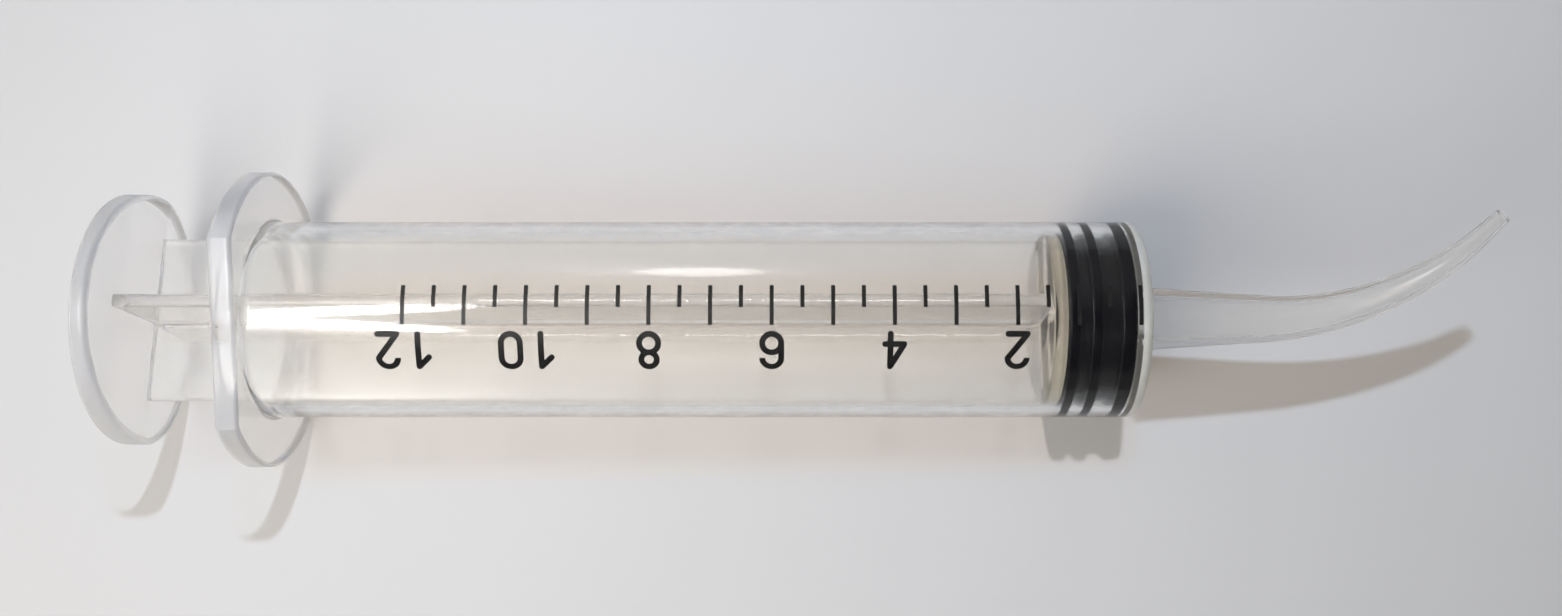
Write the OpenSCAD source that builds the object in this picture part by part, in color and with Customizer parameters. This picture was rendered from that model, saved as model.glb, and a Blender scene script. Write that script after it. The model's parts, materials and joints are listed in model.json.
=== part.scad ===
// Curved tip syringe with its plunger pushed home, in millimetres.
// X runs along the barrel towards the tip, with the scale's zero line at X = 0.
// Z points up, square to the flats of the finger flange, and the tip bends up
// and towards +Y.

/* [Barrel] */
// Diameter of the bore
bore_d = 15.7; // [14:0.1:22]
// Thickness of the barrel's round wall
side_wall = 0.9; // [0.7:0.05:1.5]
// Thickness of the wall that closes the barrel's front
front_wall = 1.2; // [0.8:0.05:2]
// Length from the scale's last line to the back face of the finger flange
back_margin = 15.46; // [6:0.02:40]
// Rounding of the barrel's front edge
shoulder_r = 0.8; // [0.2:0.05:0.8]
// Chamfer at the mouth of the bore
mouth_chamfer = 0.4; // [0.1:0.05:0.6]

/* [Finger flange] */
// How far the round rim of the flange stands out past the barrel
flange_reach = 4.45; // [3:0.05:8]
// How far the two flats of the flange stand out past the barrel
flat_reach = 1.75; // [0.8:0.05:2.8]
// Thickness of the flange
flange_t = 2; // [1.4:0.1:4]
// Rounding of the flange's edges
flange_edge_r = 0.35; // [0.1:0.05:0.5]
// Fillet between the flange and the barrel
flange_fillet_r = 0.5; // [0.1:0.05:0.7]
// Size of the gate's recess along the barrel
gate_len = 1; // [0.4:0.1:1.2]
// Size of the gate's recess across the barrel
gate_w = 1.2; // [0.8:0.1:4]
// Depth of the gate's recess in the upper flat
gate_depth = 0.4; // [0.1:0.05:0.5]

/* [Curved tip] */
// Diameter of the tip at the barrel's front face
tip_root_d = 5.4; // [4.4:0.1:7]
// Diameter of the tip at its open end
tip_end_d = 1.25; // [1.1:0.05:2.5]
// Diameter of the lumen at the barrel's front face
lumen_root_d = 3.2; // [1:0.1:4]
// Diameter of the lumen at the open end
lumen_end_d = 0.7; // [0.4:0.05:0.9]
// Flat ground left between the tip's root and the rounded front edge
tip_rim_gap = 0.35; // [0.1:0.05:4]
// Length of the tip before its bend
tip_straight = 10.4; // [4:0.1:20]
// Radius of the bend at the tip's centre line
bend_r = 17.2; // [10:0.1:40]
// Angle through which the tip bends
bend_angle = 64.4; // [20:0.1:90]
// Length of the straight end past the bend
tip_end_len = 2.3; // [0.5:0.1:8]
// Turn of the tip's root about the barrel, from the top towards +Y
root_turn = 7.5; // [-90:0.5:90]
// Direction in which the tip bends, from +Y towards the top
bend_turn = 38.6; // [0:0.1:90]

/* [Stopper] */
// Gap between the stopper and the front wall when it is pushed home
seat_gap = 0.05; // [0.02:0.01:0.2]
// Clearance between each ring and the bore, on the radius
ring_clearance = 0.02; // [0.01:0.01:0.08]
// Length of the front ring
front_ring = 1.35; // [0.8:0.05:2.5]
// Length of the groove behind the front ring
front_groove = 1.45; // [0.6:0.05:2.5]
// Length of the middle ring
middle_ring = 1.1; // [0.8:0.05:2.5]
// Length of the groove behind the middle ring
back_groove = 0.8; // [0.4:0.05:2.5]
// Length of the back ring
back_ring = 1.1; // [0.8:0.05:2.5]
// Depth of the two grooves
groove_depth = 0.45; // [0.2:0.05:1]
// Rounding of the rings' edges
ring_edge_r = 0.25; // [0.05:0.05:0.35]
// Thickness of the lip that holds the rod's head
lip_t = 1.6; // [1:0.1:2]

/* [Plunger rod] */
// Clearance between the rod and the stopper on every side
joint_gap = 0.05; // [0.02:0.01:0.1]
// Diameter of the neck inside the stopper's lip
neck_d = 5; // [3:0.1:7]
// Diameter of the head inside the stopper
head_d = 8; // [7.5:0.1:11]
// Length of the head
head_len = 2; // [1:0.1:2.5]
// Rounding of the head's edges
head_edge_r = 0.4; // [0.1:0.05:0.45]
// Thickness of the disc behind the stopper
rod_disc_t = 1.2; // [0.8:0.1:2.5]
// Clearance between that disc and the bore, on the radius
rod_disc_clearance = 0.25; // [0.15:0.05:0.6]
// Thickness of each rib
rib_t = 1.1; // [0.8:0.05:2.5]
// Clearance between the ribs' edges and the bore, on the radius
rib_clearance = 0.45; // [0.2:0.05:2]
// Rounding of the ribs' edges
rib_edge_r = 0.3; // [0.1:0.05:0.35]
// How far the thumb disc's outer face lies behind the flange
rod_stand_out = 11.5; // [6:0.1:30]
// Diameter of the thumb disc
thumb_d = 22.4; // [16:0.2:34]
// Thickness of the thumb disc along the middle rib
thumb_t = 2.7; // [2.2:0.1:4]
// How much thinner the thumb disc gets towards its rims above and below that rib
thumb_draft = 1.2; // [0.1:0.1:1.3]
// Rounding of the thumb disc's edges
thumb_edge_r = 0.5; // [0.1:0.05:0.5]
// Turn of the rod about the barrel's axis
rod_turn = -20; // [-180:1:180]

/* [Printed scale] */
// Volume at the last line, in millilitres
capacity = 12; // [4:2:12]
// Length of barrel that holds one millilitre
ml_step = 5.17; // [4:0.01:5.4]
// Width of each line along the barrel
line_w = 0.35; // [0.2:0.05:0.8]
// Length of the lines at whole millilitres, round the barrel
line_len = 3.4; // [2:0.1:6]
// Length of the lines at half millilitres, round the barrel
half_line_len = 1.9; // [1:0.1:3.2]
// Turn of the edge where all lines start, from the top towards +Y
line_turn = 26; // [0:1:90]
// Gap between the long lines and the numbers
number_gap = 0.5; // [0.2:0.1:3]
// Height of the numbers
number_h = 3.4; // [2.4:0.1:4.5]
// Width of each digit
number_w = 2.1; // [1.6:0.1:2.4]
// Width of the strokes that draw the digits
stroke_w = 0.5; // [0.25:0.05:0.6]
// Gap between two digits
digit_gap = 0.45; // [0.2:0.05:0.6]
// Thickness of the ink
ink_t = 0.04; // [0.02:0.01:0.1]
// Gap between the ink and the barrel
ink_gap = 0.01; // [0.01:0.01:0.05]

/* [Hidden] */
$fn = 96;
// Sides of the swept tip and steps of its bend
tip_sides = 24;
bend_steps = 16;
// How far cuts run past the faces that they open
overrun = 1;
// How deep joined pieces of one moulding reach into each other
weld = 0.4;
// Steps of the numbers and parts of a millilitre between two lines
number_step = 2;
lines_per_ml = 2;
// Shapes of the digits, as shares of the digit's width and height
stem_share = 0.72;
bar_share = 0.3;
flag_share = 0.3;

barrel_len = capacity * ml_step + back_margin;
bore_r = bore_d / 2;
outer_r = bore_r + side_wall;
flange_r = outer_r + flange_reach;
flat_half = outer_r + flat_reach;
tip_offset = outer_r - shoulder_r - tip_rim_gap - tip_root_d / 2;
bend_len = bend_r * bend_angle * PI / 180;
tip_len = tip_straight + bend_len + tip_end_len;

stopper_len = front_ring + front_groove + middle_ring + back_groove + back_ring;
stopper_back = -seat_gap - stopper_len;
ring_r = bore_r - ring_clearance;
groove_r = ring_r - groove_depth;
middle_ring_at = stopper_back + back_ring + back_groove;
front_ring_at = middle_ring_at + middle_ring + front_groove;

rod_disc_front = stopper_back - joint_gap;
rod_disc_r = bore_r - rod_disc_clearance;
rib_reach = bore_r - rib_clearance;
thumb_r = thumb_d / 2;
thumb_back = -barrel_len - rod_stand_out;
thumb_front = thumb_back + thumb_t;
head_back = stopper_back + lip_t + joint_gap;
neck_len = head_back - rod_disc_front;

ink_r = outer_r + ink_gap;
degrees_per_mm = 180 / (PI * ink_r);
number_turn = line_turn - (line_len + number_gap + number_h / 2) * degrees_per_mm;
pen_w = number_w - stroke_w;
pen_h = number_h - stroke_w;

// Lays a shape that is turned about Z along the barrel, its +Z towards the tip
module along_barrel() {
    rotate([180, -90, 0]) children();
}

// Outline of a disc from the axis out to r, with both rim edges rounded
module disc_outline(r, t, edge_r) {
    square([r - edge_r, t]);
    translate([0, edge_r]) square([r, t - 2 * edge_r]);
    for (y = [edge_r, t - edge_r]) translate([r - edge_r, y]) circle(edge_r);
}

// Bar outline with its four corners rounded, centred on the origin
module bar_outline(w, t, edge_r) {
    square([w - 2 * edge_r, t], center = true);
    square([w, t - 2 * edge_r], center = true);
    for (x = [-1, 1], y = [-1, 1])
        translate([x * (w / 2 - edge_r), y * (t / 2 - edge_r)]) circle(edge_r);
}

// Outside of the barrel's round wall and front wall
module barrel_outline() {
    translate([0, -barrel_len]) square([outer_r, barrel_len + front_wall - shoulder_r]);
    square([outer_r - shoulder_r, front_wall]);
    translate([outer_r - shoulder_r, front_wall - shoulder_r]) circle(shoulder_r);
    translate([outer_r, flange_t - barrel_len]) flange_fillet_outline();
}

module flange_fillet_outline() {
    difference() {
        square(flange_fillet_r);
        translate([flange_fillet_r, flange_fillet_r]) circle(flange_fillet_r);
    }
}

// The bore with the chamfer at its mouth
module bore_outline() {
    translate([0, -barrel_len - overrun]) square([bore_r, barrel_len + overrun]);
    mouth_r = bore_r + mouth_chamfer;
    polygon([
        [0, mouth_chamfer - barrel_len],
        [bore_r, mouth_chamfer - barrel_len],
        [mouth_r, -barrel_len],
        [mouth_r + overrun, -barrel_len - overrun],
        [0, -barrel_len - overrun]
    ]);
}

// Round disc cut by two flats, above and below the barrel
module finger_flange() {
    intersection() {
        along_barrel() translate([0, 0, -barrel_len])
            rotate_extrude() disc_outline(flange_r, flange_t, flange_edge_r);
        translate([flange_t / 2 - barrel_len, flange_r + overrun, 0]) rotate([90, 0, 0])
            linear_extrude(2 * (flange_r + overrun))
                rotate(90) bar_outline(2 * flat_half, flange_t, flange_edge_r);
    }
}

module gate_recess() {
    translate([(flange_t - gate_len) / 2 - barrel_len, -gate_w / 2, flat_half - gate_depth])
        cube([gate_len, gate_w, gate_depth + overrun]);
}

// Angle that the tip's centre line has turned through at a length along it
function tip_heading(at) =
    at < tip_straight ? 0 : min(bend_angle, (at - tip_straight) / bend_len * bend_angle);

// Place of the tip's centre line, [forward, sideways], at a length along it
function tip_place(at) =
    let(turned = tip_heading(at))
    let(past_bend = max(0, at - tip_straight - bend_len))
    let(along = min(at, tip_straight) + bend_r * sin(turned) + past_bend * cos(turned))
    let(aside = bend_r * (1 - cos(turned)) + past_bend * sin(turned))
    [along, aside];

// One ring of points round the centre line
function tip_ring(at, r) =
    let(turned = tip_heading(at))
    let(place = tip_place(at))
    [for (side = [0 : tip_sides - 1])
        let(round_angle = 360 * side / tip_sides)
        let(out = r * cos(round_angle))
        [place.x - out * sin(turned), place.y + out * cos(turned), r * sin(round_angle)]];

// Round taper swept along the centre line, from a length before the front face
// to a length past the open end
module tip_sweep(root_d, end_d, before, past) {
    bend_stations = [for (i = [0 : bend_steps]) tip_straight + bend_len * i / bend_steps];
    stations = concat([-before, 0], bend_stations, [tip_len + past]);
    slope = (end_d - root_d) / tip_len / 2;
    rings = [for (at = stations) tip_ring(at, root_d / 2 + slope * at)];
    count = len(stations);
    sides = [for (i = [0 : count - 2], j = [0 : tip_sides - 1])
        let(next = (j + 1) % tip_sides)
        let(a = i * tip_sides + j)
        let(b = i * tip_sides + next)
        let(c = a + tip_sides)
        let(d = b + tip_sides)
        each [[a, c, b], [b, c, d]]];
    first_cap = [for (j = [0 : tip_sides - 1]) j];
    last_cap = [for (j = [tip_sides - 1 : -1 : 0]) (count - 1) * tip_sides + j];
    polyhedron([for (ring = rings) each ring], concat(sides, [first_cap, last_cap]));
}

// Sets the tip on the front face, near its top, and turns the bend outwards
module at_tip_root() {
    rotate([-root_turn, 0, 0]) translate([front_wall, 0, tip_offset])
        rotate([root_turn + bend_turn, 0, 0]) children();
}

module barrel() {
    color([0.86, 0.87, 0.85, 0.45])
    difference() {
        union() {
            along_barrel() rotate_extrude() barrel_outline();
            finger_flange();
            at_tip_root() tip_sweep(tip_root_d, tip_end_d, front_wall / 2, 0);
        }
        along_barrel() rotate_extrude() bore_outline();
        at_tip_root() tip_sweep(lumen_root_d, lumen_end_d, front_wall + overrun, overrun);
        gate_recess();
    }
}

// Three rings and two grooves, with the cavity that holds the rod's head
module stopper_outline() {
    head_cavity_r = head_d / 2 + joint_gap;
    lip_bore_r = neck_d / 2 + joint_gap;
    difference() {
        union() {
            translate([0, stopper_back + back_ring / 2])
                square([groove_r, stopper_len - (back_ring + front_ring) / 2]);
            translate([0, stopper_back]) disc_outline(ring_r, back_ring, ring_edge_r);
            translate([0, middle_ring_at]) disc_outline(ring_r, middle_ring, ring_edge_r);
            translate([0, front_ring_at]) disc_outline(ring_r, front_ring, ring_edge_r);
        }
        translate([0, stopper_back - overrun]) square([lip_bore_r, lip_t + 2 * overrun]);
        translate([0, stopper_back + lip_t]) square([head_cavity_r, head_len + 2 * joint_gap]);
    }
}

module stopper() {
    color([0.06, 0.06, 0.07])
    along_barrel() rotate_extrude() stopper_outline();
}

// Disc behind the stopper, neck and head
module rod_nose() {
    along_barrel() rotate_extrude() {
        translate([0, rod_disc_front - rod_disc_t]) square([rod_disc_r, rod_disc_t]);
        translate([0, rod_disc_front - weld]) square([neck_d / 2, neck_len + 2 * weld]);
        translate([0, head_back]) disc_outline(head_d / 2, head_len, head_edge_r);
    }
}

// Two crossed ribs between the front disc and the thumb disc
module rod_ribs() {
    rib_start = thumb_front - thumb_draft - weld;
    rib_len = rod_disc_front - rod_disc_t + weld - rib_start;
    along_barrel() translate([0, 0, rib_start]) linear_extrude(rib_len) {
        bar_outline(2 * rib_reach, rib_t, rib_edge_r);
        rotate(90) bar_outline(2 * rib_reach, rib_t, rib_edge_r);
    }
}

// Round disc whose front face falls away in two planes from the middle rib
module thumb_disc() {
    cut_half = thumb_r + overrun;
    rim_t = thumb_t - thumb_draft * cut_half / thumb_r;
    intersection() {
        along_barrel() translate([0, 0, thumb_back])
            rotate_extrude() disc_outline(thumb_r, thumb_t, thumb_edge_r);
        translate([thumb_back, cut_half, 0]) rotate([90, 0, 0]) linear_extrude(2 * cut_half)
            polygon([
                [-overrun, -cut_half],
                [rim_t, -cut_half],
                [thumb_t, 0],
                [rim_t, cut_half],
                [-overrun, cut_half]
            ]);
    }
}

module plunger_rod() {
    color([0.88, 0.88, 0.86, 0.6])
    rotate([rod_turn, 0, 0]) {
        rod_nose();
        rod_ribs();
        thumb_disc();
    }
}

// One line of ink that starts at line_turn and runs over the top
module scale_line(at, length) {
    along_barrel() translate([0, 0, -at - line_w / 2]) rotate(-line_turn)
        rotate_extrude(angle = length * degrees_per_mm)
            translate([ink_r, 0]) square([ink_t, line_w]);
}

module scale_lines() {
    color([0.05, 0.05, 0.06])
    for (i = [0 : capacity * lines_per_ml])
        scale_line(i * ml_step / lines_per_ml, i % lines_per_ml == 0 ? line_len : half_line_len);
}

// A straight stroke with round ends
module pen_line(start, finish) {
    way = finish - start;
    translate(start) rotate(atan2(way.y, way.x)) translate([0, -stroke_w / 2])
        square([norm(way), stroke_w]);
    for (end = [start, finish]) translate(end) circle(d = stroke_w);
}

// A closed round stroke
module pen_ring(centre, r) {
    translate(centre) difference() {
        circle(r + stroke_w / 2);
        circle(r - stroke_w / 2);
    }
}

// Half of a round stroke, the upper half when turn is 0
module pen_arch(centre, r, turn) {
    reach = r + stroke_w;
    intersection() {
        pen_ring(centre, r);
        translate(centre) rotate(turn) translate([-reach, 0]) square([2 * reach, reach]);
    }
}

module digit(value) {
    half = pen_w / 2;
    top = pen_h - half;
    small_r = pen_h / 2 - half;
    stem = pen_w * stem_share;
    bar = pen_h * bar_share;
    flag = pen_h * flag_share;
    if (value == 0) {
        pen_arch([half, top], half, 0);
        pen_arch([half, half], half, 180);
        pen_line([0, half], [0, top]);
        pen_line([pen_w, half], [pen_w, top]);
    }
    if (value == 1) {
        pen_line([half, 0], [half, pen_h]);
        pen_line([half, pen_h], [half - flag, pen_h - flag]);
    }
    if (value == 2) {
        pen_arch([half, top], half, 0);
        pen_line([pen_w, top], [0, 0]);
        pen_line([0, 0], [pen_w, 0]);
    }
    if (value == 4) {
        pen_line([stem, 0], [stem, pen_h]);
        pen_line([stem, pen_h], [0, bar]);
        pen_line([0, bar], [pen_w, bar]);
    }
    if (value == 6) {
        pen_arch([half, half], half, 0);
        pen_arch([half, half], half, 180);
        pen_line([0, half], [0, top]);
        pen_arch([half, top], half, 0);
    }
    if (value == 8) {
        pen_ring([half, half], half);
        pen_ring([half, pen_h - small_r], small_r);
    }
}

// A whole number, centred on the origin
module number(value) {
    digits = value < 10 ? [value] : [floor(value / 10), value % 10];
    pitch = number_w + digit_gap;
    start = -pitch * (len(digits) - 1) / 2;
    for (i = [0 : len(digits) - 1])
        translate([start + i * pitch - pen_w / 2, -pen_h / 2]) digit(digits[i]);
}

// Numbers read with the tip to the left, so they stand on the far side of the lines
module scale_numbers() {
    color([0.05, 0.05, 0.06])
    intersection() {
        along_barrel() translate([0, 0, -barrel_len])
            rotate_extrude() translate([ink_r, 0]) square([ink_t, barrel_len]);
        rotate([-number_turn, 0, 0])
            for (value = [number_step : number_step : capacity])
                translate([-value * ml_step, 0, 0]) rotate(180)
                    linear_extrude(ink_r + overrun) number(value);
    }
}

barrel();
scale_lines();
scale_numbers();
stopper();
plunger_rod();
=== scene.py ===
import json
import math

import bmesh
import bpy
from mathutils import Matrix, Vector


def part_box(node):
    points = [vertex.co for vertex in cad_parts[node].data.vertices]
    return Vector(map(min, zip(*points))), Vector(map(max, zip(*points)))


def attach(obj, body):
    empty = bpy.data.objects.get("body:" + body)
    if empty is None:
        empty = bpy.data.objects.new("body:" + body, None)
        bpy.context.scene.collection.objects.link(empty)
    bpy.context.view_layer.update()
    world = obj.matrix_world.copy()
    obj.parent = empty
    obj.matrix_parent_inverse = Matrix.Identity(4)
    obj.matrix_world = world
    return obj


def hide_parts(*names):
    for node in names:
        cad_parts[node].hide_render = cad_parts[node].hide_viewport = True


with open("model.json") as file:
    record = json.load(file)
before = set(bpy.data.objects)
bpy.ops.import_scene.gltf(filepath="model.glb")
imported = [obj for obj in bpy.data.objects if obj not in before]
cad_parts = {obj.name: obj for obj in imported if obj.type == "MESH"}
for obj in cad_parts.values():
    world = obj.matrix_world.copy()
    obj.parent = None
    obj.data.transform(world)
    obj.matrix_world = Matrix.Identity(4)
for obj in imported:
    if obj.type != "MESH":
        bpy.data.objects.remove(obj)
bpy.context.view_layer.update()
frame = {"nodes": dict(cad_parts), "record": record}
mm = 0.001

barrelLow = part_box("barrel")[0]
stopperLow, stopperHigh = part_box("stopper")
rodLow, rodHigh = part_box("plunger_rod")
grip = next(mount for mount in frame["record"]["mounts"] if mount["name"] == "barrel_grip")
outerR = grip["dims"]["r_mm"] * mm
ringGap = 0.02 * mm  # between the solid stopper and the bore
boreR = stopperHigh[1] + ringGap

# Meshes from rings, and the tools that join them

sharpFrom = math.radians(32)  # faces that meet at more than this angle keep a sharp edge
longStretch = 0.12  # a stretch is long when an extra ring stands within this share of its end


def makeObject(name, verts, faces):
    mesh = bpy.data.meshes.new(name)
    mesh.from_pydata(verts, [], faces)
    mesh.validate()
    mesh.update()
    obj = bpy.data.objects.new(name, mesh)
    bpy.context.scene.collection.objects.link(obj)
    return obj


def smoothShade(obj):
    for face in obj.data.polygons:
        face.use_smooth = True
    obj.data.set_sharp_from_angle(angle=sharpFrom)


def joinCut(obj, other, operation):
    # unites obj with other or cuts other out of it, then drops other
    mod = obj.modifiers.new("join", "BOOLEAN")
    mod.operation = operation
    mod.solver = "EXACT"
    mod.object = other
    graph = bpy.context.evaluated_depsgraph_get()
    mesh = bpy.data.meshes.new_from_object(obj.evaluated_get(graph))
    obj.modifiers.clear()
    old = obj.data
    obj.data = mesh
    bpy.data.meshes.remove(old)
    bpy.data.objects.remove(other)


def fixNormals(obj):
    # turns every face outwards
    bm = bmesh.new()
    bm.from_mesh(obj.data)
    bmesh.ops.recalc_face_normals(bm, faces=bm.faces)
    bm.to_mesh(obj.data)
    bm.free()


def boxMesh(name, low, high):
    xs, ys, zs = zip(low, high)
    verts = [(x, y, z) for x in xs for y in ys for z in zs]
    faces = [(0, 1, 3, 2), (4, 6, 7, 5), (0, 4, 5, 1), (2, 3, 7, 6), (0, 2, 6, 4), (1, 5, 7, 3)]
    return makeObject(name, verts, faces)


def ringAngles(count, corners=()):
    # evenly spaced angles, with the nearest ones moved onto the corners
    angles = [2 * math.pi * i / count for i in range(count)]
    for corner in corners:
        near = min(range(count), key=lambda i: abs(angles[i] - corner))
        angles[near] = corner
    return angles


def revolve(profile, angles, place=None):
    # profile is [(x, r, inset)] from one point on the axis to another
    # place, where given, moves each point of a ring
    verts = []
    rows = []
    for x, r, inset in profile:
        if r == 0:
            rows.append([len(verts)])
            verts.append((x, 0, 0))
            continue
        row = []
        for angle in angles:
            spot = (x, r) if place is None else place(x, r, inset, angle)
            row.append(len(verts))
            verts.append((spot[0], spot[1] * math.sin(angle), spot[1] * math.cos(angle)))
        rows.append(row)
    return verts, ringFaces(rows, len(angles))


def ringFaces(rows, count):
    # quads from ring to ring, triangles where a row is one point on the axis
    faces = []
    for low, high in zip(rows, rows[1:]):
        for i in range(count):
            j = (i + 1) % count
            if len(low) == 1:
                faces.append((low[0], high[i], high[j]))
            elif len(high) == 1:
                faces.append((low[i], high[0], low[j]))
            else:
                faces.append((low[i], high[i], high[j], low[j]))
    return faces


def withInset(points, inset=None):
    # inset tells place how far inside the rim a ring lies, and is None where place leaves it alone
    return [(x, r, inset) for x, r in points]


def brace(points, near):
    # a ring close to each end of a long stretch keeps a rounding's smooth shading off the flat
    braced = points[:1]
    for (x0, r0, inset0), (x1, r1, inset1) in zip(points, points[1:]):
        share = near / math.hypot(x1 - x0, r1 - r0)
        if share < longStretch:
            for part, r, inset in ((share, r0, inset0), (1 - share, r1, inset1)):
                newR = r0 + (r1 - r0) * part
                newInset = None if inset is None else inset + r - newR
                if r > 0:
                    braced.append((x0 + (x1 - x0) * part, newR, newInset))
        braced.append((x1, r1, inset1))
    return braced


def arc(centreX, centreR, radius, start, end, steps):
    # points of a rounding in the x-r plane, angles in degrees from +x towards +r
    turns = [math.radians(start + (end - start) * i / steps) for i in range(steps + 1)]
    return [(centreX + radius * math.cos(t), centreR + radius * math.sin(t)) for t in turns]


def roundRim(back, front, rim, edge, steps):
    # a disc's rim from back to front, with both edges rounded
    points = arc(back + edge, rim - edge, edge, 180, 90, steps)
    return points + arc(front - edge, rim - edge, edge, 90, 0, steps)


# Barrel with its flange and curved tip

barrelLook = {
    "frontWall": 1.2 * mm,
    "shoulderR": 0.8 * mm,
    "shoulderSteps": 10,
    "mouthChamfer": 0.4 * mm,
    "flangeT": 2.0 * mm,
    "flatHalf": -barrelLow[2],  # from the axis to each flat
    "flangeR": -barrelLow[1],
    "edgeR": 0.35 * mm,
    "edgeSteps": 6,
    "filletR": 0.5 * mm,
    "filletSteps": 8,
    "gateL": 1.0 * mm,
    "gateW": 1.2 * mm,
    "gateD": 0.4 * mm,
    "cutPast": 1.0 * mm,  # how far the lumen and the gate are cut past the surface
    "brace": 0.15 * mm,  # how far the extra rings stand from the ends of a long stretch
    "segments": 192,
    "rimTurn": 0.995,  # a rim face's normal leans along X by less than this
}

tipLook = {
    "rootD": 5.4 * mm,
    "endD": 1.25 * mm,
    "lumenRootD": 3.2 * mm,
    "lumenEndD": 0.7 * mm,
    "rimGap": 0.35 * mm,  # between the tip's root and the front edge's rounding
    "straight": 10.4 * mm,
    "straightSteps": 4,
    "bendR": 17.2 * mm,
    "bendAngle": math.radians(64.4),
    "bendSteps": 48,
    "endLength": 2.3 * mm,
    "rootTurn": math.radians(7.5),  # round the barrel's axis, of the place where the tip stands
    "bendTurn": math.radians(38.6),  # round the tip's own axis, of the side to which it bends
    "sides": 64,
}


def barrelProfile(look):
    back = barrelLow[0]
    front = look["frontWall"]
    flangeFront = back + look["flangeT"]
    rim = look["flangeR"]
    chamfer = look["mouthChamfer"]
    fillet = look["filletR"]
    shoulder = look["shoulderR"]
    points = withInset([(0, 0), (0, boreR), (back + chamfer, boreR), (back, boreR + chamfer)])
    for x, r in roundRim(back, flangeFront, rim, look["edgeR"], look["edgeSteps"]):
        points.append((x, r, rim - r))  # rim points keep their distance from the rim on the flats too
    wall = arc(flangeFront + fillet, outerR + fillet, fillet, 180, 270, look["filletSteps"])
    wall += arc(front - shoulder, outerR - shoulder, shoulder, 90, 0, look["shoulderSteps"])
    points += withInset(wall + [(front, 0)])
    return brace(points, look["brace"])


def flatRim(look):
    # draws the flange's rim in to its two flats
    def place(x, r, inset, angle):
        if inset is None:
            return x, r
        across = max(abs(math.cos(angle)), 1e-6)  # never zero, as it divides
        return x, min(r, (look["flatHalf"] - inset) / across)
    return place


def tipHeading(look, at):
    # how far the tip has turned at this distance along its centre line
    return min(max(0, (at - look["straight"]) / look["bendR"]), look["bendAngle"])


def tipPlace(look, at):
    turned = tipHeading(look, at)
    past = max(0, at - look["straight"] - look["bendR"] * look["bendAngle"])
    along = min(at, look["straight"]) + look["bendR"] * math.sin(turned) + past * math.cos(turned)
    aside = look["bendR"] * (1 - math.cos(turned)) + past * math.sin(turned)
    return along, aside


def tipStations(look):
    # distances along the centre line at which the tip has a ring, and its whole length
    straight = look["straight"]
    bendLength = look["bendR"] * look["bendAngle"]
    straightSteps = look["straightSteps"]
    bendSteps = look["bendSteps"]
    stations = [straight * i / straightSteps for i in range(straightSteps)]
    stations += [straight + bendLength * i / bendSteps for i in range(bendSteps + 1)]
    return stations, straight + bendLength + look["endLength"]


def tipRoot(look):
    # where the tip's own axes stand on the front wall
    offset = outerR - barrelLook["shoulderR"] - look["rimGap"] - look["rootD"] / 2
    toRoot = Matrix.Translation((barrelLook["frontWall"], 0, offset))
    toRoot = Matrix.Rotation(-look["rootTurn"], 4, "X") @ toRoot
    return toRoot @ Matrix.Rotation(look["rootTurn"] + look["bendTurn"], 4, "X")


def tipCentres(look):
    stations, length = tipStations(look)
    return [tipRoot(look) @ Vector((*tipPlace(look, at), 0)) for at in stations + [length]]


def tipSweep(look, rootD, endD, before, past):
    # round taper along the bent centre line, closed at both ends
    stations, length = tipStations(look)
    stations = [-before] + stations + [length + past]
    toRoot = tipRoot(look)
    sides = look["sides"]
    verts = []
    faces = []
    for at in stations:
        along, aside = tipPlace(look, at)
        turned = tipHeading(look, at)
        r = (rootD + (endD - rootD) * at / length) / 2
        for i in range(sides):
            around = 2 * math.pi * i / sides
            out = r * math.cos(around)
            spot = (along - out * math.sin(turned), aside + out * math.cos(turned), r * math.sin(around))
            verts.append(tuple(toRoot @ Vector(spot)))
    for row in range(len(stations) - 1):
        for i in range(sides):
            a = row * sides + i
            b = row * sides + (i + 1) % sides
            faces.append((a, b, b + sides, a + sides))
    faces.append(tuple(reversed(range(sides))))
    faces.append(tuple(range(len(verts) - sides, len(verts))))
    return verts, faces


def makeGate(look):
    # the block that cuts the small recess into the upper flat
    middle = barrelLow[0] + look["flangeT"] / 2
    low = (middle - look["gateL"] / 2, -look["gateW"] / 2, look["flatHalf"] - look["gateD"])
    high = (middle + look["gateL"] / 2, look["gateW"] / 2, look["flatHalf"] + look["cutPast"])
    return boxMesh("gateRecess", low, high)


def makeBarrel(look, tip):
    # the tip starts inside the front wall, and its lumen is cut from behind that wall
    corner = math.acos(look["flatHalf"] / look["flangeR"])
    corners = [corner, math.pi - corner, math.pi + corner, 2 * math.pi - corner]
    angles = ringAngles(look["segments"], corners)
    barrel = makeObject("clearBarrel", *revolve(barrelProfile(look), angles, flatRim(look)))
    wall = look["frontWall"]
    outside = makeObject("tipOutside", *tipSweep(tip, tip["rootD"], tip["endD"], wall / 2, 0))
    lumenTaper = tipSweep(tip, tip["lumenRootD"], tip["lumenEndD"], 2 * wall, look["cutPast"])
    lumen = makeObject("tipLumen", *lumenTaper)
    gate = makeGate(look)
    for obj in (barrel, outside, lumen, gate):
        fixNormals(obj)
    joinCut(barrel, outside, "UNION")
    joinCut(barrel, lumen, "DIFFERENCE")
    joinCut(barrel, gate, "DIFFERENCE")
    smoothShade(barrel)
    return barrel


# Stopper

stopperLook = {
    "rings": ((0, 1.35 * mm), (2.8 * mm, 1.1 * mm), (4.7 * mm, 1.1 * mm)),  # behind the front, length
    "grooveR": boreR - 0.47 * mm,
    "edgeR": 0.25 * mm,
    "edgeSteps": 5,
    "press": 0.015 * mm,  # how far the rings go into the bore's wall
    "cavityR": 4.05 * mm,
    "cavityLength": 2.1 * mm,
    "lipT": 1.6 * mm,
    "lipBoreR": 2.55 * mm,
    "segments": 192,
}


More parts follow.
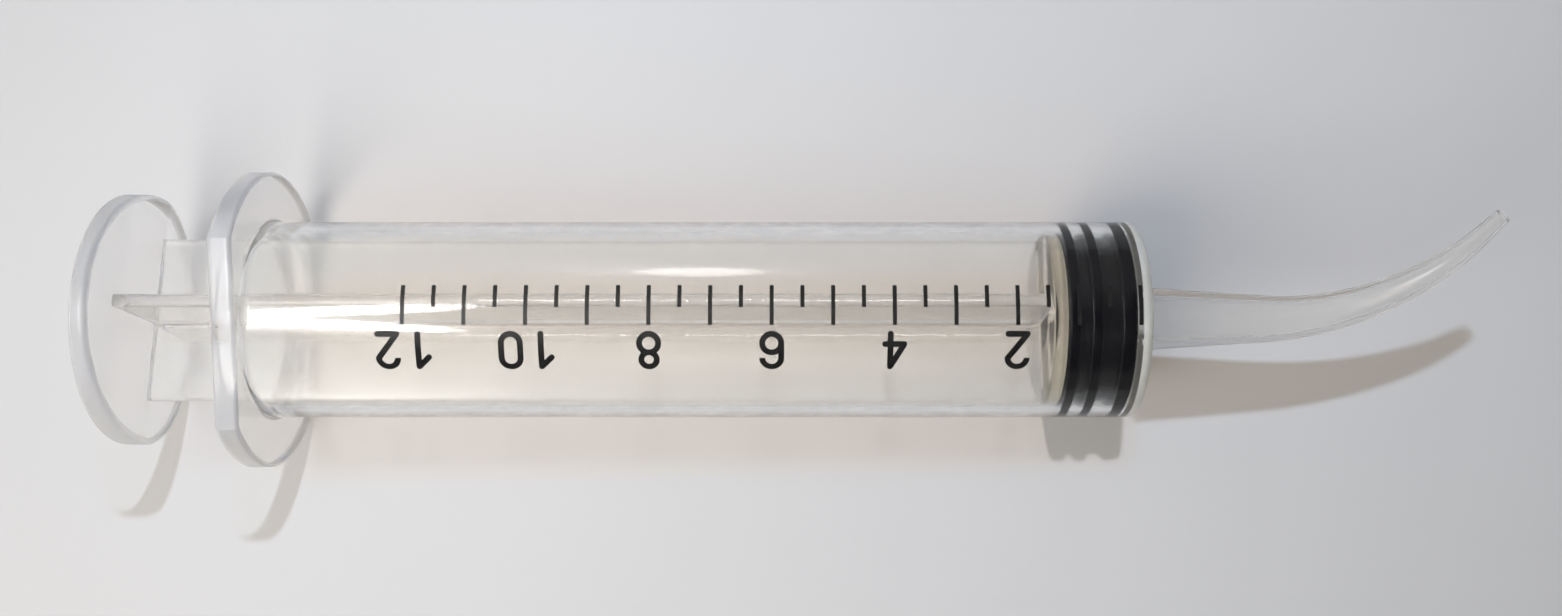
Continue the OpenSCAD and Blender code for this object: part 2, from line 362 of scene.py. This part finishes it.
def makeStopper(look):
    # from the front face's middle, back over the rings, and in by the lip to the cavity's floor
    front = stopperHigh[0]
    back = stopperLow[0]
    ringR = boreR + look["press"]
    points = []
    for behind, length in look["rings"]:
        ringFront = front - behind
        ringBack = ringFront - length
        rim = roundRim(ringBack, ringFront, ringR, look["edgeR"], look["edgeSteps"])
        points += [(ringFront, look["grooveR"])] + rim[::-1] + [(ringBack, look["grooveR"])]
    points = [(front, 0)] + points[1:-1]
    lipFront = back + look["lipT"]
    floorX = lipFront + look["cavityLength"]
    points += [(back, look["lipBoreR"]), (lipFront, look["lipBoreR"]), (lipFront, look["cavityR"])]
    points += [(floorX, look["cavityR"]), (floorX, 0)]
    angles = ringAngles(look["segments"])
    stopper = makeObject("rubberStopper", *revolve(withInset(points), angles))
    fixNormals(stopper)
    smoothShade(stopper)
    return stopper


# Plunger rod

rodLook = {
    "turn": math.radians(-20),  # of the cross about the barrel's axis
    "ribHalf": 7.4 * mm,
    "ribT": 1.1 * mm,
    "edgeR": 0.3 * mm,
    "rootR": 0.3 * mm,
    "ribSteps": 4,
    "thumbT": 2.7 * mm,
    "thumbR": rodHigh[1],
    "draft": 1.2 * mm,  # how far the thumb disc's front falls back at its rim
    "thumbEdgeR": 0.5 * mm,
    "thumbSteps": 8,
    "rimTurn": 0.99,  # a rim face's normal leans along X by less than this
    "discR": 7.6 * mm,
    "discT": 1.2 * mm,
    "discEdgeR": 0.15 * mm,
    "neckR": 2.5 * mm,
    "headR": 4.0 * mm,
    "headLength": 2.0 * mm,
    "headEdgeR": 0.4 * mm,
    "headGap": 0.05 * mm,  # between the head and the rubber, and between disc and stopper
    "noseSteps": 3,
    "weld": 0.4 * mm,  # how far the ribs reach into the disc at each end
    "brace": 0.15 * mm,
    "segments": 160,
}


def crossOutline(look):
    # one quarter of the cross has a rib's two rounded edges, then the root's fillet
    half = look["ribHalf"]
    t = look["ribT"] / 2
    edge = look["edgeR"]
    root = look["rootR"]
    near = look["brace"]
    steps = look["ribSteps"]
    corners = [(half - edge - near, -t)]
    corners += arc(half - edge, -t + edge, edge, -90, 0, steps)
    corners += arc(half - edge, t - edge, edge, 0, 90, steps)
    corners += [(half - edge - near, t), (t + root + near, t)]
    corners += arc(t + root, t + root, root, 270, 180, steps)
    corners.append((t, t + root + near))
    points = []
    for quarter in range(4):
        c = math.cos(quarter * math.pi / 2)
        s = math.sin(quarter * math.pi / 2)
        points += [(c * y - s * z, s * y + c * z) for y, z in corners]
    return points


def makeRibs(look, start, end):
    outline = crossOutline(look)
    count = len(outline)
    verts = [(x, y, z) for x in (start, end) for y, z in outline]
    faces = [(i, (i + 1) % count, (i + 1) % count + count, i + count) for i in range(count)]
    faces += [tuple(reversed(range(count))), tuple(range(count, 2 * count))]
    return makeObject("ribs", verts, faces)


def makeThumbDisc(look):
    back = rodLow[0]
    front = back + look["thumbT"]
    rim = look["thumbR"]
    edge = look["thumbEdgeR"]
    steps = look["thumbSteps"]
    points = [(back, 0, None)]
    points += withInset(arc(back + edge, rim - edge, edge, 180, 90, steps))
    points += withInset(arc(front - edge, rim - edge, edge, 90, 0, steps), edge)
    points.append((front, 0, None))

    def place(x, r, inset, angle):
        # the front face falls back on both sides of the middle rib
        fall = 0 if inset is None else look["draft"] * abs(math.cos(angle)) * r / rim
        return x - fall, r

    profile = brace(points, look["brace"])
    return makeObject("thumbDisc", *revolve(profile, ringAngles(look["segments"]), place))


def makeNose(look, discFront):
    # disc behind the stopper, then the neck and head inside it
    neckLength = look["headGap"] + stopperLook["lipT"] + look["headGap"]
    headBack = discFront + neckLength
    headFront = headBack + look["headLength"]
    discBack = discFront - look["discT"]
    steps = look["noseSteps"]
    points = [(discBack, 0)]
    points += roundRim(discBack, discFront, look["discR"], look["discEdgeR"], steps)
    points += [(discFront, look["neckR"]), (headBack, look["neckR"])]
    points += roundRim(headBack, headFront, look["headR"], look["headEdgeR"], steps)
    points.append((headFront, 0))
    return makeObject("nose", *revolve(withInset(points), ringAngles(look["segments"])))


def makeRod(look):
    discFront = stopperLow[0] - look["headGap"]
    start = rodLow[0] + look["thumbT"] - look["draft"] - look["weld"]
    rod = makeRibs(look, start, discFront - look["discT"] + look["weld"])
    rod.name = "plungerRod"
    disc = makeThumbDisc(look)
    nose = makeNose(look, discFront)
    for obj in (rod, disc, nose):
        fixNormals(obj)
    joinCut(rod, disc, "UNION")
    joinCut(rod, nose, "UNION")
    rod.data.transform(Matrix.Rotation(look["turn"], 4, "X"))
    smoothShade(rod)
    return rod


# Materials

marksLook = {"scale": 60.0, "roughness": 0.12, "spread": 0.05, "detail": 3, "middle": 0.5}
driftSpan = (0.3, 0.7)  # the part of the mask over which a colour drifts


def newGroup(name, inputs, outputs):
    # a shader node group whose sockets are all plain values
    group = bpy.data.node_groups.new(name, "ShaderNodeTree")
    for label, value in inputs.items():
        socket = group.interface.new_socket(name=label, in_out="INPUT", socket_type="NodeSocketFloat")
        socket.default_value = value
    for label in outputs:
        group.interface.new_socket(name=label, in_out="OUTPUT", socket_type="NodeSocketFloat")
    return group, group.nodes.new("NodeGroupInput"), group.nodes.new("NodeGroupOutput")


def mouldMarks(look):
    # the soft waviness of a moulded plastic surface, as roughness, height and mask
    inputs = {"Scale": look["scale"], "Roughness": look["roughness"], "Spread": look["spread"]}
    group, given, out = newGroup("mouldMarks", inputs, ("Roughness", "Height", "Mask"))
    nodes, links = group.nodes, group.links
    place = nodes.new("ShaderNodeTexCoord")
    wide = nodes.new("ShaderNodeTexNoise")
    wide.inputs["Detail"].default_value = look["detail"]
    links.new(place.outputs["Object"], wide.inputs["Vector"])
    links.new(given.outputs["Scale"], wide.inputs["Scale"])
    centred = nodes.new("ShaderNodeMath")
    centred.operation = "SUBTRACT"
    centred.inputs[1].default_value = look["middle"]
    links.new(wide.outputs["Fac"], centred.inputs[0])
    added = nodes.new("ShaderNodeMath")
    added.operation = "MULTIPLY_ADD"
    links.new(centred.outputs[0], added.inputs[0])
    links.new(given.outputs["Spread"], added.inputs[1])
    links.new(given.outputs["Roughness"], added.inputs[2])
    links.new(added.outputs[0], out.inputs["Roughness"])
    links.new(wide.outputs["Fac"], out.inputs["Height"])
    links.new(wide.outputs["Fac"], out.inputs["Mask"])
    return group


marks = mouldMarks(marksLook)


def startMaterial(name):
    mat = bpy.data.materials.new(name)
    mat.use_nodes = True
    shader = next(n for n in mat.node_tree.nodes if n.type == "BSDF_PRINCIPLED")
    return mat, mat.node_tree.nodes, mat.node_tree.links, shader


def addMarks(nodes, links, shader, look):
    # roughness that varies and a faint wave, both from the shared group
    effect = nodes.new("ShaderNodeGroup")
    effect.node_tree = marks
    effect.inputs["Scale"].default_value = look["scale"]
    effect.inputs["Roughness"].default_value = look["roughness"]
    effect.inputs["Spread"].default_value = look["spread"]
    links.new(effect.outputs["Roughness"], shader.inputs["Roughness"])
    wave = nodes.new("ShaderNodeBump")
    wave.inputs["Strength"].default_value = look["bump"]
    wave.inputs["Distance"].default_value = look["depth"]
    links.new(effect.outputs["Height"], wave.inputs["Height"])
    links.new(wave.outputs["Normal"], shader.inputs["Normal"])
    return effect


def addRamp(nodes, span, low, high):
    ramp = nodes.new("ShaderNodeValToRGB")
    for end, position, colour in zip(ramp.color_ramp.elements, span, (low, high)):
        end.position = position
        end.color = (*colour, 1)
    return ramp


def marksAndTint(nodes, links, shader, look):
    # the marks, and a colour that drifts between two close tones with them
    effect = addMarks(nodes, links, shader, look)
    ramp = addRamp(nodes, driftSpan, look["low"], look["high"])
    links.new(effect.outputs["Mask"], ramp.inputs["Fac"])
    links.new(ramp.outputs["Color"], shader.inputs["Base Color"])


def letLampsThrough(nodes, links, shader, look):
    # light on its way to a dull surface passes straight through, a little tinted
    output = next(n for n in nodes if n.type == "OUTPUT_MATERIAL")
    clear = nodes.new("ShaderNodeBsdfTransparent")
    clear.inputs["Color"].default_value = (*look["lamp"], 1)
    if "rimLamp" in look:
        shadeRim(nodes, links, clear, look)
    path = nodes.new("ShaderNodeLightPath")
    surface = shader.outputs[0]
    for ray in ("Is Diffuse Ray", "Is Shadow Ray"):
        mix = nodes.new("ShaderNodeMixShader")
        links.new(path.outputs[ray], mix.inputs["Fac"])
        links.new(surface, mix.inputs[1])
        links.new(clear.outputs[0], mix.inputs[2])
        surface = mix.outputs[0]
    links.new(surface, output.inputs["Surface"])


def shadeRim(nodes, links, clear, look):
    # light that would leave a thin disc through its rim is thrown aside, so the rim's shadow is darker
    side = nodes.new("ShaderNodeNewGeometry")
    pick = nodes.new("ShaderNodeMix")
    pick.data_type = "RGBA"
    pick.inputs["A"].default_value = (*look["rimLamp"], 1)
    pick.inputs["B"].default_value = (*look["lamp"], 1)
    links.new(side.outputs["Backfacing"], pick.inputs["Factor"])
    links.new(pick.outputs["Result"], clear.inputs["Color"])


def clearPlastic(name, look):
    mat, nodes, links, shader = startMaterial(name)
    shader.inputs["IOR"].default_value = look["ior"]
    shader.inputs["Transmission Weight"].default_value = look["clear"]
    shader.inputs["Specular IOR Level"].default_value = look["gloss"]
    if "glowDepth" in look:
        shader.inputs["Subsurface Weight"].default_value = 1.0
        shader.inputs["Subsurface Radius"].default_value = look["glowTint"]
        shader.inputs["Subsurface Scale"].default_value = look["glowDepth"]
    marksAndTint(nodes, links, shader, look)
    letLampsThrough(nodes, links, shader, look)
    return mat


def rubber(look):
    mat, nodes, links, shader = startMaterial("blackRubber")
    shader.inputs["Specular IOR Level"].default_value = look["gloss"]
    marksAndTint(nodes, links, shader, look)
    return mat


def ink(look):
    mat, nodes, links, shader = startMaterial("scaleInk")
    shader.inputs["Specular IOR Level"].default_value = look["gloss"]
    marksAndTint(nodes, links, shader, look)
    letLampsThrough(nodes, links, shader, look)
    return mat


# low and high are the two tones, and lamp is the tint that one surface gives the light's way down
wallBase = {
    "ior": 1.27, "clear": 0.996, "gloss": 0.5,
    "scale": 60.0, "spread": 0.03, "bump": 0.04, "depth": 0.02 * mm,
    "low": (0.96, 0.98, 0.984), "high": (0.978, 0.996, 0.999), "lamp": (0.975, 0.942, 0.907),
}
thickBase = {
    "gloss": 0.5, "glowDepth": 2.5 * mm, "glowTint": (1.0, 0.95, 0.85),
    "scale": 90.0, "spread": 0.05, "bump": 0.15, "depth": 0.02 * mm,
}
tipBase = {"scale": 120.0, "spread": 0.03, "bump": 0.02, "depth": 0.01 * mm}
rodBase = {"gloss": 0.5, "scale": 90.0, "spread": 0.06, "bump": 0.2, "depth": 0.03 * mm}

rimFinish = {
    **thickBase, "ior": 1.28, "clear": 0.45, "roughness": 0.25,
    "low": (0.955, 0.943, 0.925), "high": (0.985, 0.973, 0.955), "lamp": (0.96, 0.945, 0.92),
    "rimLamp": (0.12, 0.09, 0.06),
}

barrelFinishes = {
    "clearWall": {**wallBase, "roughness": 0.08},
    "clearBore": {**wallBase, "roughness": 0.14},
    "clearFlange": {
        **thickBase, "ior": 1.25, "clear": 0.94, "roughness": 0.16,
        "low": (0.975, 0.973, 0.962), "high": (0.995, 0.993, 0.982), "lamp": (0.985, 0.98, 0.97),
    },
    "flangeRim": rimFinish,
    "creamFront": {
        **thickBase, "ior": 1.3, "clear": 0.15, "roughness": 0.25,
        "low": (0.79, 0.77, 0.67), "high": (0.83, 0.81, 0.71), "lamp": (0.93, 0.9, 0.86),
    },
    "clearTip": {
        **tipBase, "ior": 1.24, "clear": 0.96, "roughness": 0.25, "gloss": 0.5,
        "low": (0.93, 0.93, 0.922), "high": (0.95, 0.95, 0.942), "lamp": (0.55, 0.46, 0.38),
    },
    "frontFace": {
        **thickBase, "ior": 1.3, "clear": 0.55, "roughness": 0.25,
        "low": (0.88, 0.875, 0.84), "high": (0.91, 0.905, 0.87), "lamp": (0.95, 0.93, 0.9),
    },
    "clearLumen": {
        **tipBase, "ior": 1.06, "clear": 0.98, "roughness": 0.3, "gloss": 0.1,
        "low": (0.98, 0.978, 0.968), "high": (0.99, 0.988, 0.978), "lamp": (0.995, 0.99, 0.985),
    },
}

rodFinishes = {
    "milkyRibs": {
        **rodBase, "ior": 1.3, "clear": 0.8, "roughness": 0.22,
        "low": (0.9, 0.895, 0.88), "high": (0.93, 0.925, 0.91), "lamp": (0.955, 0.932, 0.912),
    },
    "milkyThumb": {
        **thickBase, **rodBase, "ior": 1.22, "clear": 0.95, "roughness": 0.16,
        "low": (0.98, 0.975, 0.968), "high": (0.995, 0.99, 0.985), "lamp": (0.975, 0.965, 0.95),
    },
    "thumbRim": rimFinish,
    # the nose's two tones are its creamy plastic, darkened below the rest of the rod as painted shade for
    # the pocket between the rod's front disc and the stopper
    "milkyNose": {
        "ior": 1.2, "clear": 0.985, "roughness": 0.15, "gloss": 0.1,
        "scale": 90.0, "spread": 0.05, "bump": 0.15, "depth": 0.02 * mm,
        "low": (0.75, 0.75, 0.69), "high": (0.79, 0.79, 0.73), "lamp": (0.9, 0.88, 0.84),
    },
}

rubberFinish = {
    "gloss": 0.35, "roughness": 0.14,
    "scale": 400.0, "spread": 0.08, "bump": 0.2, "depth": 0.02 * mm,
    "low": (0.002, 0.0015, 0.003), "high": (0.005, 0.0045, 0.007),
}

inkFinish = {
    "gloss": 0.2, "roughness": 0.45,
    "scale": 1500.0, "spread": 0.2, "bump": 0.3, "depth": 0.01 * mm,
    "low": (0.003, 0.003, 0.003), "high": (0.016, 0.015, 0.014), "lamp": (0.8, 0.79, 0.78),
}


def dress(obj, mat):
    obj.data.materials.clear()
    obj.data.materials.append(mat)


def dressRegions(obj, finishes, regionOf):
    # one material slot for each finish, and each face gets the one that its region names
    for name, look in finishes.items():
        obj.data.materials.append(clearPlastic(name, look))
    slots = {name: i for i, name in enumerate(finishes)}
    for face in obj.data.polygons:
        face.material_index = slots[regionOf(face)]


def dressBarrel(barrel, look):
    # each region of the moulding has the finish that its thickness gives it
    centres = tipCentres(tipLook)
    nearly = look["edgeR"] / 10  # more than the cuts are off by
    flangeFront = barrelLow[0] + look["flangeT"] + look["filletR"]
    rimFrom = look["flatHalf"] - 2 * look["edgeR"]

    def regionOf(face):
        x, y, z = face.center
        r = math.hypot(y, z)
        if x > look["frontWall"] + nearly:
            near = min(centres, key=lambda spot: (spot - face.center).length_squared)
            return "clearLumen" if (face.center - near).dot(face.normal) < 0 else "clearTip"
        if r < boreR + nearly:
            return "frontFace" if x > -nearly else "clearBore"
        if x > 0:
            return "creamFront"
        if x < flangeFront:
            isRim = r > rimFrom and abs(face.normal.x) < look["rimTurn"]
            return "flangeRim" if isRim else "clearFlange"
        return "clearWall"

    dressRegions(barrel, barrelFinishes, regionOf)


def dressRod(rod, look):
    nearly = look["edgeR"] / 10  # more than the welds are off by
    thumbFront = rodLow[0] + look["thumbT"] + nearly
    rimFrom = look["thumbR"] - 2 * look["thumbEdgeR"]
    noseBack = stopperLow[0] - look["headGap"] - look["discT"] - nearly

    def regionOf(face):
        x, y, z = face.center
        if x > noseBack:
            return "milkyNose"
        if x < thumbFront:
            isRim = math.hypot(y, z) > rimFrom and abs(face.normal.x) < look["rimTurn"]
            return "thumbRim" if isRim else "milkyThumb"
        return "milkyRibs"

    dressRegions(rod, rodFinishes, regionOf)


# Floor, light and camera

viewLook = {
    "imageSize": (1562, 616),
    "nadir": (790, 314),  # the picture's point straight below the camera
    "focal": 1445.6,  # in the picture's pixels
    "sensor": 36.0,
    "roll": math.radians(6.5),  # of the syringe about its own axis, as it lies
    "above": 130 * mm,
    "overX": -29.48 * mm,
    "overY": 0.5 * mm,
    "clipFrom": 1 * mm,
}

floorLook = {
    "front": (0.0, 8.75 * mm),  # under the front edge: x, then how far down the floor is
    "back": (-76.5 * mm, 11.34 * mm),  # under the flange's lower corner
    "size": 5.0,
    "roughness": 0.6, "scale": 14.0, "spread": 0.1, "bump": 0.1, "depth": 1.0 * mm,
    "low": (0.73, 0.72, 0.707), "high": (0.76, 0.75, 0.737),
}


def photoPoint(x, y, z):
    # a place given across, up the picture and towards the viewer, from the barrel's zero line
    return Matrix.Rotation(-viewLook["roll"], 3, "X") @ Vector((x, y, z))


def makeCamera(look):
    data = bpy.data.cameras.new("camera")
    camera = bpy.data.objects.new("camera", data)
    bpy.context.scene.collection.objects.link(camera)
    width, height = look["imageSize"]
    data.sensor_fit = "HORIZONTAL"
    data.sensor_width = look["sensor"]
    data.lens = look["sensor"] * look["focal"] / width
    data.shift_x = (width / 2 - look["nadir"][0]) / width
    data.shift_y = (look["nadir"][1] - height / 2) / width
    data.clip_start = look["clipFrom"]
    camera.location = photoPoint(look["overX"], look["overY"], look["above"])
    camera.rotation_euler = (-look["roll"], 0, 0)
    bpy.context.scene.camera = camera


def makeFloor(look):
    (x0, down0), (x1, down1) = look["front"], look["back"]
    slope = (down1 - down0) / (x1 - x0)
    half = look["size"] / 2
    verts = []
    for x, y in ((-half, -half), (half, -half), (half, half), (-half, half)):
        verts.append(tuple(photoPoint(x, y, -(down0 + slope * (x - x0)))))
    floor = makeObject("floor", verts, [(0, 1, 2, 3)])
    mat, nodes, links, shader = startMaterial("paleSheet")
    marksAndTint(nodes, links, shader, look)
    dress(floor, mat)


# Lamp sizes, along the barrel and across it, and their places are in millimetres. A lamp for
# light lights the dull surfaces, and a lamp for shine only shows as a reflection.

tubeTint = (1.0, 0.99, 0.97)
stripTint = (1.0, 0.985, 0.96)

lampLooks = {
    "keyLamp": {
        "for": "light", "size": (6, 6), "power": 0.2, "colour": (0.88, 0.965, 1.12),
        "at": (-27.4, 88.2, 182.4), "aim": (-30, 0, 0),
    },
    "leftFillLamp": {
        "for": "light", "size": (160, 160), "power": 0.375, "colour": (1.0, 0.965, 0.93),
        "at": (-165, -115, 170), "aim": (-80, -15, 0),
    },
    "windowLamp": {
        "for": "shine", "size": (60, 120), "power": 0.3, "colour": (1.0, 0.985, 0.97), "shape": "ELLIPSE",
        "at": (-74, 500, 330), "aim": (-37, 0, 0),
    },
    "tubeLamp": {
        "for": "shine", "size": (190, 5), "power": 0.12, "colour": tubeTint,
        "at": (-51, 150, 370), "aim": (-51, 0, 0),
    },
    "lowTubeLamp": {
        "for": "shine", "size": (190, 5), "power": 0.08, "colour": tubeTint,
        "at": (-51, -116, 370), "aim": (-51, 0, 0),
    },
    "upperStripLamp": {
        "for": "shine", "size": (74, 30), "power": 0.33, "colour": stripTint, "shape": "ELLIPSE",
        "turn": 43, "at": (-127, 35, 200), "aim": (-95, -10, 0),
    },
    "lowerStripLamp": {
        "for": "shine", "size": (76, 26), "power": 0.3, "colour": stripTint, "shape": "ELLIPSE",
        "turn": -52, "at": (-128, -19, 200), "aim": (-95, -10, 0),
    },
    "sideLamp": {
        "for": "shine", "size": (220, 220), "power": 2.5, "colour": (0.95, 0.98, 1.0),
        "at": (-1000, 200, 260), "aim": (0, 0, 0),
    },
}


def makeLamp(name, look):
    data = bpy.data.lights.new(name, "AREA")
    data.shape = look.get("shape", "RECTANGLE")
    data.size, data.size_y = (side * mm for side in look["size"])
    data.energy = look["power"]
    data.color = look["colour"]
    lamp = bpy.data.objects.new(name, data)
    bpy.context.scene.collection.objects.link(lamp)
    lamp.location = photoPoint(*(place * mm for place in look["at"]))
    aim = photoPoint(*(place * mm for place in look["aim"]))
    away = (lamp.location - aim).normalized()
    along = (Vector((1, 0, 0)) - away * away.x).normalized()
    along = Matrix.Rotation(math.radians(look.get("turn", 0)), 3, away) @ along
    lamp.rotation_euler = Matrix((along, away.cross(along), away)).transposed().to_euler()
    lamp.visible_glossy = look["for"] == "shine"
    lamp.visible_diffuse = look["for"] == "light"
    lamp.visible_transmission = False  # the clear plastic's shadow already lets its light through


roomLook = {
    "low": (1.0, 0.965, 0.925),
    "high": (0.12, 0.118, 0.114),
    "strength": 0.225,
    "lean": 0.19,  # how much lower the light walls are on one side of the syringe
    "wallSpan": (0.6, 0.7),  # where the walls end and the dark ceiling begins
}


def makeWorld(look):
    # a soft room with light walls that is dark overhead
    world = bpy.data.worlds.new("softRoom")
    bpy.context.scene.world = world
    world.use_nodes = True
    nodes, links = world.node_tree.nodes, world.node_tree.links
    back = next(n for n in nodes if n.type == "BACKGROUND")
    back.inputs["Strength"].default_value = look["strength"]
    place = nodes.new("ShaderNodeTexCoord")
    height = nodes.new("ShaderNodeVectorMath")
    height.operation = "DOT_PRODUCT"
    height.inputs[1].default_value = (0, -look["lean"], 1)
    ramp = addRamp(nodes, look["wallSpan"], look["low"], look["high"])
    links.new(place.outputs["Generated"], height.inputs[0])
    links.new(height.outputs["Value"], ramp.inputs["Fac"])
    links.new(ramp.outputs["Color"], back.inputs["Color"])


bpy.context.scene.view_settings.view_transform = "Standard"
makeCamera(viewLook)
makeFloor(floorLook)
makeWorld(roomLook)
for name, look in lampLooks.items():
    makeLamp(name, look)
print("floor, lamps and camera placed")

barrel = makeBarrel(barrelLook, tipLook)
dressBarrel(barrel, barrelLook)
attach(barrel, "barrel")
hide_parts("barrel")
print("barrel moulded")

rod = makeRod(rodLook)
dressRod(rod, rodLook)
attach(rod, "plunger_rod")
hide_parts("plunger_rod")
print("plunger rod moulded")

stopper = makeStopper(stopperLook)
dress(stopper, rubber(rubberFinish))
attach(stopper, "stopper")
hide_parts("stopper")
print("stopper moulded")

inkMaterial = ink(inkFinish)
for name in ("scale_lines", "scale_numbers"):
    for slot in frame["nodes"][name].material_slots:
        slot.material = inkMaterial
print("scale printed")
